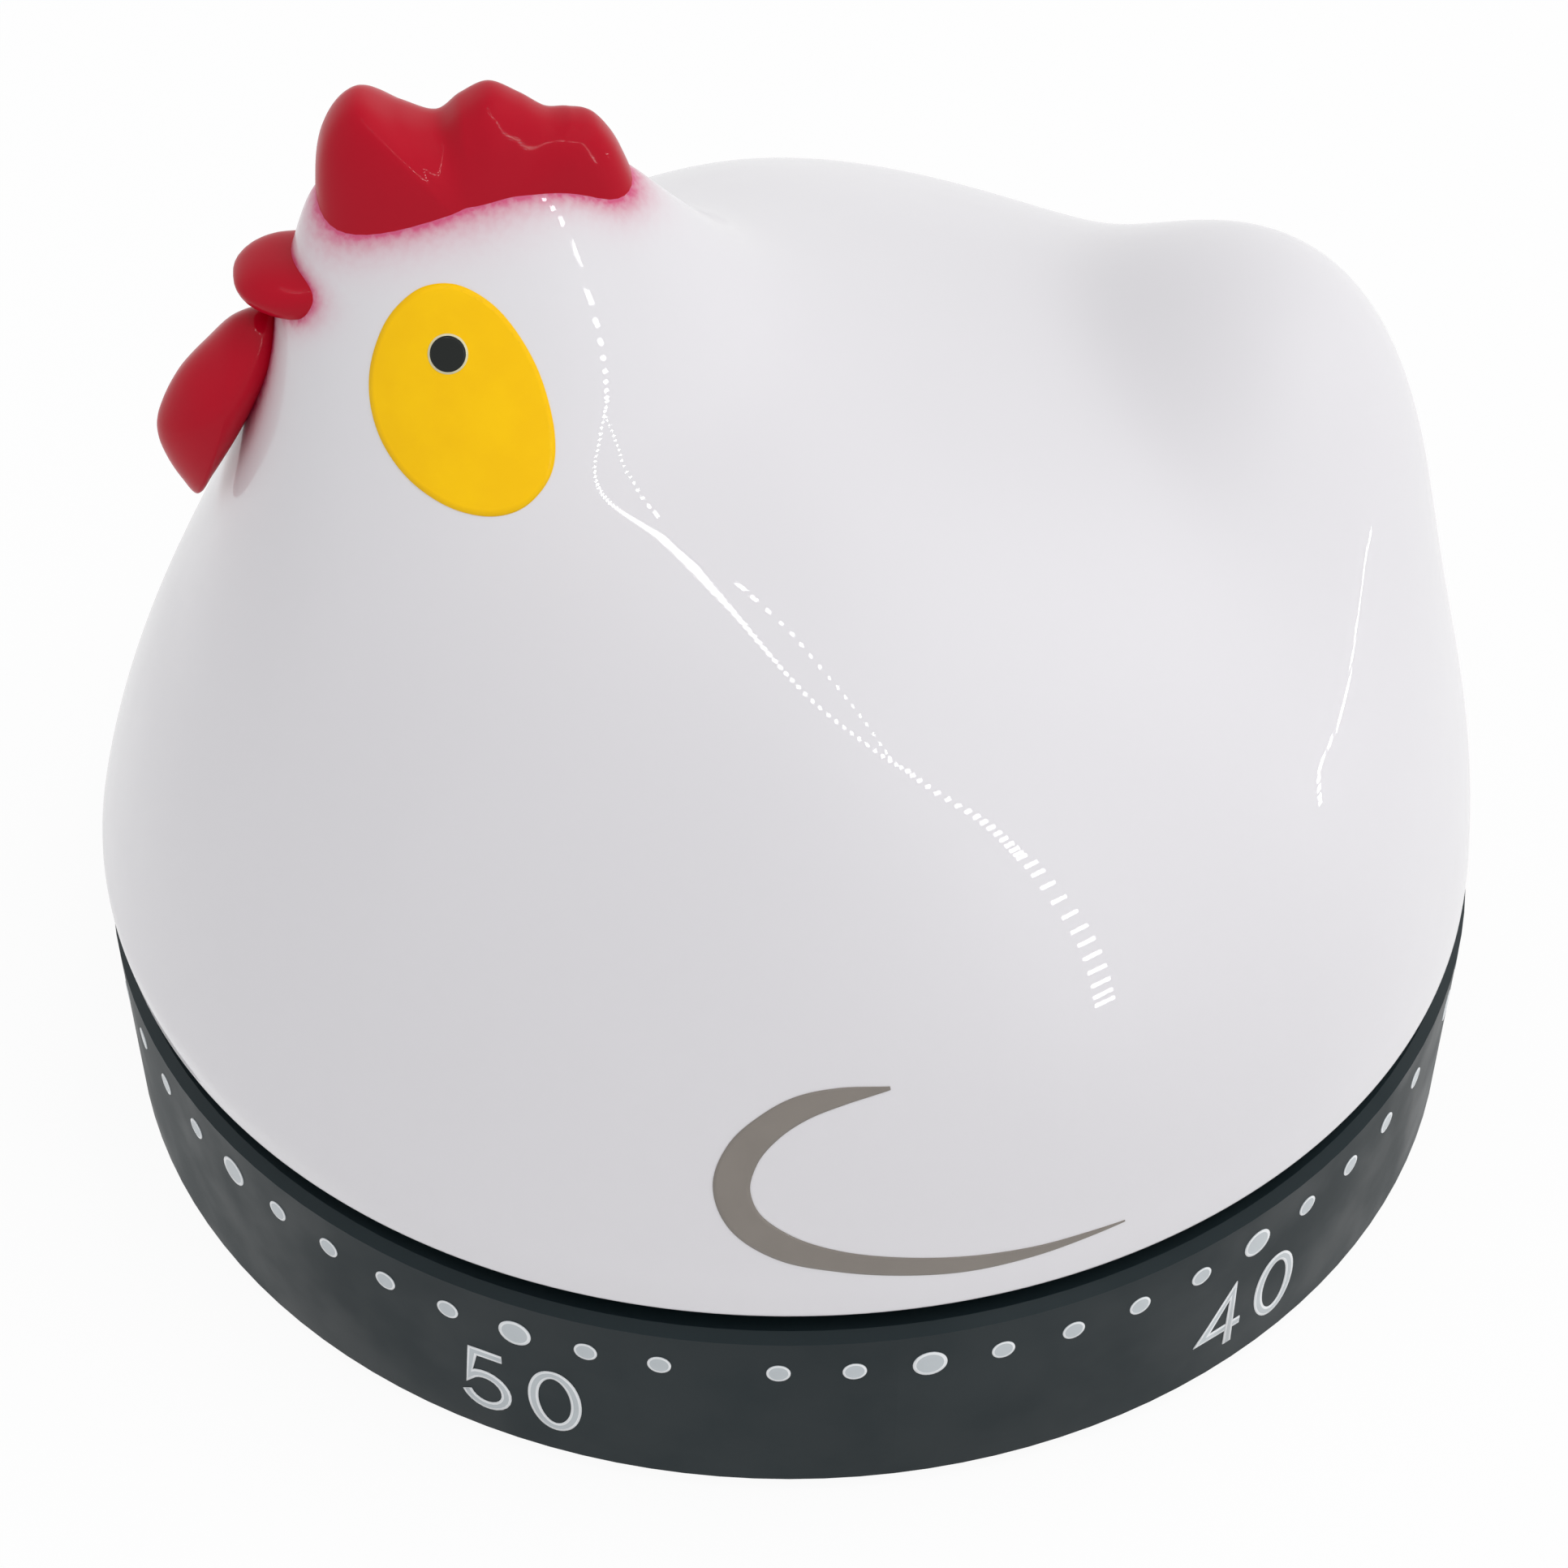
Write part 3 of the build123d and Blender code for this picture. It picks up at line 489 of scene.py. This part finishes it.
def pillow(node_name, outline, middle, half, fullness, material):
    """Puffed moulding: its outline on the middle plane, drawn in towards both faces by a superellipse."""
    loop = smooth_path(outline, pillow_around, True) - middle
    rings = pillow_rings[node_name]
    rows = []
    for ring in range(1, rings):
        turn = math.pi * (ring / rings - 0.5)
        share = math.cos(turn) ** (2 / fullness)
        off = math.copysign(abs(math.sin(turn)) ** (2 / fullness), turn)
        flat = loop * share + middle
        rows.append(np.column_stack([flat[:, 0], off * half_thickness(half, flat[:, 0]), flat[:, 1]]))
    deep = half_thickness(half, middle[0])
    spots, faces = closed_rows(rows, [np.array((middle[0], sign * deep, middle[1])) for sign in (-1, 1)])
    piece = make_piece(f"{node_name}_moulding", spots, faces, "hen", [material])
    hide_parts(node_name)


# ---- prints on the hen ----
def ink_sides(spots, rows):
    """The outer and the buried side of ink over spots on the skin, each split into rows."""
    out = form_normals(spots)
    return np.split(spots + out * print_lift, rows), np.split(spots - out * print_depth, rows)


def layer_on_skin(name, plan_rows, axes, side, material):
    """Thin closed layer of ink over rows of plan points, which run from its middle to its edge."""
    top, under = ink_sides(drape(np.vstack(plan_rows), *axes), len(plan_rows))
    middle = drape(np.mean(plan_rows[0], axis=0)[None], *axes)
    above, below = ink_sides(middle, 1)
    spots, faces = on_side(*closed_rows(top + under[::-1], above + below), side)
    return make_piece(name, spots, faces, "hen", [material])


def eye_axes():
    """Middle of the eye, and its right, upright and facing directions."""
    upright, facing = unit(eye_upright), unit(eye_facing)
    return np.array(eye_middle), np.cross(upright, facing), upright, facing


def eye_patch(name, side, material):
    edge = smooth_path(eye_outline, eye_points, True)
    middle = edge.mean(axis=0)
    rows = [middle + (edge - middle) * share for share in eye_shares]
    layer_on_skin(name, rows, eye_axes(), side, material)


def pupil(name, side, radius, lift, material):
    """Round dot on the eye, lifted off the patch; it makes the pupil and also the pale disc under it, whose
    rim is a painted highlight halo.
    """
    rows = [pupil_spot + circle(pupil_points) * radius * share for share in pupil_shares]
    piece = layer_on_skin(name, rows, eye_axes(), side, material)
    outward = in_row(np.array((eye_facing[0], side * eye_facing[1], eye_facing[2])) * lift)
    piece.data.transform(Matrix.Translation(outward))


def wing_mark(name, side, material):
    """Brush stroke of ink along the wing line, seen straight from the side."""
    line = smooth_path(wing_line, wing_points, False)
    ahead = unit(np.gradient(line[:, :2], axis=0))
    across = np.column_stack([-ahead[:, 1], ahead[:, 0]])
    shares = np.linspace(-1, 1, wing_columns)
    plan = line[:, None, :2] + across[:, None] * (line[:, 2:, None] * shares[None, :, None])
    origin, (right, facing, upright) = np.array((0, rim_radius, 0)), np.eye(3)
    top, under = ink_sides(drape(plan.reshape(-1, 2), origin, right, upright, facing), wing_points)
    rings = [np.vstack([above, below[::-1]]) for above, below in zip(top, under)]
    count = 2 * wing_columns
    faces = tube_faces(wing_points, count)
    faces.append(tuple(range(count))[::-1])
    faces.append(tuple((wing_points - 1) * count + i for i in range(count)))
    spots, faces = on_side(np.vstack(rings), faces, side)
    make_piece(name, spots, faces, "hen", [material])


# ---- prints on the dial ring ----
def wall_radius(up):
    """Outside of the ring's wall, which leans in towards its foot."""
    low, high = ring_foot + ring_edge, ring_top - ring_edge
    return ring_radius - ring_draft * (high - up) / (high - low)


def on_wall(turn, plan, lift):
    """Places over the ring wall for a plan of (rightwards, up) distances round the angle turn."""
    radius = wall_radius(plan[..., 1]) + lift
    angle = math.radians(turn) + plan[..., 0] / wall_radius(plan[..., 1])
    return np.stack([-radius * np.sin(angle), radius * np.cos(angle), plan[..., 1]], -1)


def minute_angle(minute):
    """Row-frame angle of a minute's dot; the dots stand in five groups of twelve."""
    block_step = 360.0 * dot_block / dial_minutes
    return dial_front - block_step * (minute // dot_block) - dot_step * (minute % dot_block)


def dot_mesh(minute):
    """Spots, faces and face marks of one dot; marked faces are its pale edge, a painted highlight rim."""
    turn, place = minute_angle(minute), np.array((0, dot_height))
    edge = circle(dot_points) * (dot_radius if minute % five_dot_step else five_dot_radius)
    rows = [on_wall(turn, place + edge * share, lift) for share, lift in dot_levels]
    ends = [on_wall(turn, place, lift) for lift in (print_lift, -print_depth)]
    spots, faces = closed_rows(rows, ends)
    pale = range(dot_points, 3 * dot_points)
    return spots, faces, [int(all(i in pale for i in face)) for face in faces]


def minute_dots(materials):
    spots, faces, marks = joined([dot_mesh(minute) for minute in range(dial_minutes)])
    make_piece("minute_dots", spots, faces, "base", materials, marks)


def arc(middle, radii, start, end, count=20):
    turns = np.radians(np.linspace(start, end, count))
    return [(middle[0] + radii[0] * math.cos(t), middle[1] + radii[1] * math.sin(t)) for t in turns]


def digit_lines():
    """Width and middle lines of each digit, in shares of its height, and whether each line is a loop."""
    nought = arc((0.28, 0.5), (0.222, 0.445), 0, 360, 49)[:-1]
    one = [(0.08, 0.745), (0.17, 0.765), (0.235, 0.82), (0.275, 0.945), (0.275, 0.0)]
    two = arc((0.275, 0.70), (0.205, 0.245), 170, -25) + [(0.36, 0.44), (0.075, 0.055), (0.5, 0.055)]
    three_top = arc((0.27, 0.725), (0.185, 0.22), 160, -90)
    three_foot = arc((0.27, 0.28), (0.215, 0.225), 90, -165)
    four = [(0.40, 0.0), (0.40, 0.90), (0.045, 0.285), (0.54, 0.285)]
    five = [(0.47, 0.945), (0.155, 0.945), (0.095, 0.475)] + arc((0.265, 0.32), (0.225, 0.265), 128, -160)
    return {
        "0": (0.56, [(nought, True)]),
        "1": (0.40, [(one, False)]),
        "2": (0.56, [(two, False)]),
        "3": (0.56, [(three_top, False), (three_foot, False)]),
        "4": (0.56, [(four, False)]),
        "5": (0.56, [(five, False)]),
    }


def stroke_rows(line, closed):
    """Edges of a stroke of even width along a line, mitred at its corners, as rows across it."""
    before = np.roll(line, 1, axis=0) if closed else np.vstack([2 * line[0] - line[1], line[:-1]])
    after = np.roll(line, -1, axis=0) if closed else np.vstack([line[1:], 2 * line[-1] - line[-2]])
    into, out = unit(line - before), unit(after - line)
    normal = unit(np.column_stack([-(into + out)[:, 1], (into + out)[:, 0]]))
    square = np.abs((normal * np.column_stack([-into[:, 1], into[:, 0]])).sum(1))
    half = stroke_width / 2 / np.maximum(square, mitre_limit)
    return [line + normal * (half * share)[:, None] for share in (-1, -stroke_face, stroke_face, 1)]


def stroke_mesh(line, closed, turn):
    """Spots, faces and face marks of one stroke; all but its face between the edges are marked, and take the
    pale paint of its painted highlight rims.
    """
    rows = stroke_rows(line, closed)
    lifts = (print_edge_lift, print_lift, print_lift, print_edge_lift)
    layers = [on_wall(turn, row, lift) for row, lift in zip(rows, lifts)]
    layers += [on_wall(turn, row, -print_depth) for row in (rows[3], rows[0])]
    count, around = len(line), len(layers)
    faces, marks = [], []
    for span in range(count if closed else count - 1):
        a, b = span * around, (span + 1) % count * around
        for strip in range(around):
            after = (strip + 1) % around
            faces.append((a + strip, a + after, b + after, b + strip))
            marks.append(0 if strip == 1 else 1)
    if not closed:
        faces.append(tuple(reversed(range(around))))
        faces.append(tuple((count - 1) * around + i for i in range(around)))
        marks += [1, 1]
    return np.stack(layers, 1).reshape(-1, 3), faces, marks


def numeral(minute, materials):
    """Digits of one ten-minute number, printed under its dot."""
    digits = [digit_lines()[digit] for digit in str(minute)]
    scale = np.array((numeral_height * numeral_stretch, numeral_height))
    left = -(sum(width * scale[0] for width, _ in digits) + numeral_gap * (len(digits) - 1)) / 2
    strokes = []
    for width, lines in digits:
        for line, closed in lines:
            plan = np.array(line) * scale + (left, numeral_foot)
            strokes.append(stroke_mesh(plan, closed, minute_angle(minute)))
        left += width * scale[0] + numeral_gap
    spots, faces, marks = joined(strokes)
    make_piece(f"numeral_{minute}", spots, faces, "base", materials, marks)


# ---- materials ----
def new_material(name, colour, roughness, metallic=0.0, coat=0.0, coat_roughness=0.05, specular=0.5):
    made = bpy.data.materials.new(name)
    made.use_nodes = True
    shader = made.node_tree.nodes["Principled BSDF"]
    shader.inputs["Base Color"].default_value = (*colour, 1)
    shader.inputs["Roughness"].default_value = roughness
    shader.inputs["Metallic"].default_value = metallic
    shader.inputs["Specular IOR Level"].default_value = specular
    shader.inputs["Coat Weight"].default_value = coat
    shader.inputs["Coat Roughness"].default_value = coat_roughness
    return made


def node(made, kind, inputs=None, **settings):
    """New node in a material or world; an input is a value, or an output to link."""
    new = made.node_tree.nodes.new(kind)
    for key, value in settings.items():
        setattr(new, key, value)
    for key, value in (inputs or {}).items():
        if hasattr(value, "is_output"):
            made.node_tree.links.new(value, new.inputs[key])
        else:
            new.inputs[key].default_value = value
    return new


def feed(made, output, socket):
    """Links an output to a socket of the material's shader."""
    shader = made.node_tree.nodes["Principled BSDF"]
    made.node_tree.links.new(output, shader.inputs[socket])


def maths(made, operation, first, second, clamp=False):
    new = node(made, "ShaderNodeMath", {0: first, 1: second}, operation=operation, use_clamp=clamp)
    return new.outputs[0]


def mixed(made, share, first, second):
    """Colour between two; a Mix node set to colours has them at inputs 6 and 7, and its result at 2."""
    return node(made, "ShaderNodeMix", {"Factor": share, 6: first, 7: second}, data_type="RGBA").outputs[2]


def noise(made, scale, detail=3.0, stretch=(1, 1, 1)):
    """Noise in object space, whose scale is in waves a metre."""
    place = node(made, "ShaderNodeTexCoord").outputs["Object"]
    mapped = node(made, "ShaderNodeMapping", {"Vector": place, "Scale": stretch}).outputs["Vector"]
    waves = node(made, "ShaderNodeTexNoise", {"Vector": mapped, "Scale": scale, "Detail": detail})
    return waves.outputs["Fac"]


def between(made, value, low, high):
    """value, mostly from 0.25 to 0.75, eased from low to high."""
    return node(made, "ShaderNodeMapRange", {
        "Value": value, "From Min": 0.25, "From Max": 0.75, "To Min": low, "To Max": high},
        interpolation_type="SMOOTHERSTEP").outputs["Result"]


def mottled(made, colour, dark, light, scale, detail=4.0):
    """Colour that drifts a little between a darker and a lighter cast of itself."""
    casts = [(*[min(channel * cast, 1) for channel in colour], 1) for cast in (dark, light)]
    return mixed(made, between(made, noise(made, scale, detail), 0, 1), *casts)


def uneven_gloss(made, scale, roughness):
    feed(made, between(made, noise(made, scale), roughness * 0.85, roughness * 1.2), "Roughness")


def bumped(made, height, strength, depth):
    """Surface relief of the given depth in millimetres."""
    normal = node(made, "ShaderNodeBump", {"Height": height, "Strength": strength, "Distance": depth * MM})
    feed(made, normal.outputs["Normal"], "Normal")


def moulded_plastic(name, colour, roughness, skin_depth, skin_scale=1200, drift=0.05, coat=0, specular=0.5):
    """Injection-moulded plastic: drifting tone, uneven gloss and a fine moulded skin."""
    made = new_material(name, colour, roughness, coat=coat, specular=specular)
    feed(made, mottled(made, colour, 1 - drift, 1 + drift, 70), "Base Color")
    uneven_gloss(made, 160, roughness)
    bumped(made, noise(made, skin_scale, 2.0), 0.25, skin_depth)
    return made


def hen_white():
    """Glossy white plastic, tinted pink near the red parts by bled red paint and by painted red light from
    them.
    """
    colour, pink, pink_gain = (0.74, 0.725, 0.745), (0.60, 0.06, 0.18, 1), 1.15
    made = new_material("hen_white", colour, 0.4, coat=0.6, coat_roughness=0.02)
    feed(made, between(made, noise(made, 120), 0.36, 0.44), "Roughness")
    bumped(made, noise(made, 420, 0.0), 0.25, 0.002)
    # the pink near the red parts is partly bled red paint and partly painted red light from them
    paint_bleed_and_glow = node(made, "ShaderNodeAttribute", attribute_name="paint_bleed_and_glow").outputs["Fac"]
    speckled = maths(made, "MULTIPLY", paint_bleed_and_glow, between(made, noise(made, 2600, 2.0), 0.85, 1.1))
    share = maths(made, "MULTIPLY", speckled, pink_gain, clamp=True)
    white = mottled(made, colour, 0.985, 1.01, 40, detail=0.0)
    feed(made, mixed(made, share, white, pink), "Base Color")
    return made


def comb_red():
    colour = (0.45, 0.0, 0.014)
    return moulded_plastic("comb_red", colour, 0.36, 0.004, skin_scale=420, coat=0.22, specular=0.05)


def dial_slate():
    colour = (0.008, 0.0155, 0.0185)
    return moulded_plastic("dial_slate", colour, 0.45, 0.012, skin_scale=1500, drift=0.07, specular=0.2)


def pad_ink(name, colour, coat=0.35, specular=0.15, roughness=0.35):
    """Pad-printed ink: nearly even, with the faint mottle of the pad."""
    made = new_material(name, colour, roughness, coat=coat, specular=specular)
    feed(made, mottled(made, colour, 0.965, 1.03, 380), "Base Color")
    uneven_gloss(made, 500, roughness)
    bumped(made, noise(made, 1300, 2.0), 0.2, 0.004)
    return made


def brushed_metal(name, colour, roughness, stretch, scale=260, anisotropy=0.5):
    """Metal with fine drawn lines and drifting tarnish."""
    made = new_material(name, colour, roughness, metallic=1.0)
    made.node_tree.nodes["Principled BSDF"].inputs["Anisotropic"].default_value = anisotropy
    feed(made, mottled(made, colour, 0.88, 1.06, 120), "Base Color")
    lines = noise(made, scale, 5.0, stretch)
    feed(made, between(made, lines, roughness * 0.75, roughness * 1.4), "Roughness")
    bumped(made, lines, 0.35, 0.01)
    return made


def ribbed_rubber():
    """Matt rubber with a fine leathery skin and pale dust in it."""
    colour = (0.028, 0.028, 0.030)
    made = new_material("ribbed_rubber", colour, 0.82)
    feed(made, mottled(made, colour, 0.8, 1.5, 220), "Base Color")
    bumped(made, noise(made, 1800, 5.0), 0.6, 0.03)
    return made


def dress_cad_nodes():
    """Gives each CAD node that shows as it is the finish of its slot."""
    finishes = {
        "slate_plastic": dial_slate(),
        "black_plastic": moulded_plastic("floor_black", (0.018, 0.018, 0.02), 0.5, 0.02, drift=0.1),
        "white_plastic": moulded_plastic("carrier_white", (0.68, 0.67, 0.67), 0.45, 0.015, drift=0.03),
        "rubber": ribbed_rubber(),
        "steel": brushed_metal("zinc_steel", (0.56, 0.57, 0.58), 0.32, (1, 1, 14)),
        "brass": brushed_metal("rolled_brass", (0.72, 0.50, 0.20), 0.3, (1, 9, 1)),
        "spring_steel": brushed_metal("blued_spring", (0.30, 0.31, 0.35), 0.28, (1, 1, 20)),
        "bell_steel": brushed_metal("nickel_bell", (0.62, 0.60, 0.56), 0.18, (1, 1, 6), 160, 0.3),
    }
    slots = {part["node"]: part["material_slot"] for part in frame["record"]["subparts"]}
    for name, cad in frame["nodes"].items():
        made = finishes.get(slots.get(name))
        if made is not None:
            cad.data.materials.clear()
            cad.data.materials.append(made)


# ---- floor, light and camera ----
def seen(made):
    """1 for rays that come straight from the camera or by a mirror-like or clear surface, else 0."""
    path = node(made, "ShaderNodeLightPath")
    share = path.outputs["Is Camera Ray"]
    for ray in ("Is Glossy Ray", "Is Transmission Ray"):
        share = maths(made, "MAXIMUM", share, path.outputs[ray])
    return share


def surface_mix(made, output_name, share, first, second):
    """Gives a material or world a mix of two shader nodes."""
    mix = node(made, "ShaderNodeMixShader", {"Fac": share, 1: first.outputs[0], 2: second.outputs[0]})
    made.node_tree.links.new(mix.outputs["Shader"], made.node_tree.nodes[output_name].inputs["Surface"])


def floor():
    """Pale floor that is near white where it is seen and still takes the shadow."""
    corners = [(x * floor_half, y * floor_half, 0) for x, y in ((-1, -1), (1, -1), (1, 1), (-1, 1))]
    mesh = bpy.data.meshes.new("floor")
    mesh.from_pydata(corners, [], [(0, 1, 2, 3)])
    stage = bpy.data.objects.new("floor", mesh)
    bpy.context.scene.collection.objects.link(stage)
    made = new_material("floor_white", (0.86, 0.86, 0.86), 0.9)
    mesh.materials.append(made)
    pale = made.node_tree.nodes["Principled BSDF"]
    white = node(made, "ShaderNodeEmission", {"Color": (1, 1, 1, 1), "Strength": 1.0})
    share = maths(made, "MULTIPLY", seen(made), floor_share)
    surface_mix(made, "Material Output", share, pale, white)


def world():
    """Even room light, and plain white where the background is seen."""
    made = bpy.data.worlds.new("soft_room")
    bpy.context.scene.world = made
    made.use_nodes = True
    room = made.node_tree.nodes["Background"]
    room.inputs["Color"].default_value = (*room_colour, 1)
    room.inputs["Strength"].default_value = room_strength
    white = node(made, "ShaderNodeBackground", {"Color": (1, 1, 1, 1), "Strength": 1.0})
    surface_mix(made, "World Output", seen(made), room, white)


def towards(around, rise):
    """Row-frame unit vector: around turns from the hen's front to its left, rise is above the horizon."""
    a, e = math.radians(around), math.radians(rise)
    return np.array((math.cos(e) * math.sin(a), -math.cos(e) * math.cos(a), math.sin(e)))


def lamp(name, around, rise, away, size, watts):
    """Rectangular lamp that points at the middle of the object."""
    data = bpy.data.lights.new(name, "AREA")
    data.shape = "RECTANGLE"
    data.size, data.size_y = size
    data.energy = watts
    light = bpy.data.objects.new(name, data)
    bpy.context.scene.collection.objects.link(light)
    target = (bounds_before[0] + bounds_before[1]) / 2
    light.location = np.array(target) + towards(around, rise) * away
    light.rotation_mode = "QUATERNION"
    light.rotation_quaternion = (target - light.location).to_track_quat("-Z", "Y")
    return light


def lights():
    """Soft lamps without a reflection, and rows of small ones that reflect as a line down the hen."""
    for name, place in soft_lamps.items():
        lamp(name, *place).visible_glossy = False
    for name, (count, glow, course) in lamp_rows.items():
        for index, (around, rise, width) in enumerate(smooth_path(course, count, False)):
            size = (width, row_lamp_height)
            lamp(f"{name}_{index:02d}", around, rise, row_away, size, glow * width * row_lamp_height)


def camera():
    data = bpy.data.cameras.new("camera")
    data.lens = camera_lens
    data.sensor_width = camera_sensor
    data.clip_start, data.clip_end = 0.01, 10.0
    view = bpy.data.objects.new("camera", data)
    bpy.context.scene.collection.objects.link(view)
    view.location = camera_place
    view.rotation_euler = np.radians(camera_turn)
    bpy.context.scene.camera = view


# ---- build ----
def hen():
    red = comb_red()
    hen_body(hen_white())
    for node_name, part in red_parts.items():
        pillow(node_name, *part, red)


def hen_prints():
    yellow = pad_ink("eye_yellow", (1.0, 0.57, 0.0), coat=0.2, specular=0.05)
    black = pad_ink("pupil_black", (0.005, 0.007, 0.006), coat=0.25)
    # pale colour for the painted highlight halo round the pupil, given the ink finish though it is no print
    pale = pad_ink("pupil_painted_halo", (0.72, 0.66, 0.42))
    taupe = pad_ink("wing_taupe", (0.235, 0.21, 0.185))
    for side_name, side in (("left", 1), ("right", -1)):
        eye_patch(f"eye_patch_{side_name}", side, yellow)
        # pale rim round the pupil: a painted highlight halo
        pupil(f"pupil_painted_halo_{side_name}", side, pupil_halo_radius, print_lift / 2, pale)
        pupil(f"pupil_{side_name}", side, pupil_radius, print_lift, black)
        wing_mark(f"wing_mark_{side_name}", side, taupe)


def dial_prints():
    # grey ink for the dots and digits, and a pale paint for their rims that is a painted highlight
    ink_and_rim_highlight = [pad_ink("dial_grey", (0.53, 0.57, 0.59)), pad_ink("dial_painted_rim_highlight", (0.84, 0.86, 0.87))]
    minute_dots(ink_and_rim_highlight)
    for minute in range(0, dial_minutes, numeral_step):
        numeral(minute, ink_and_rim_highlight)


dress_cad_nodes()
hen()
hen_prints()
dial_prints()
floor()
world()
lights()
camera()
bpy.context.scene.view_settings.view_transform = "Standard"
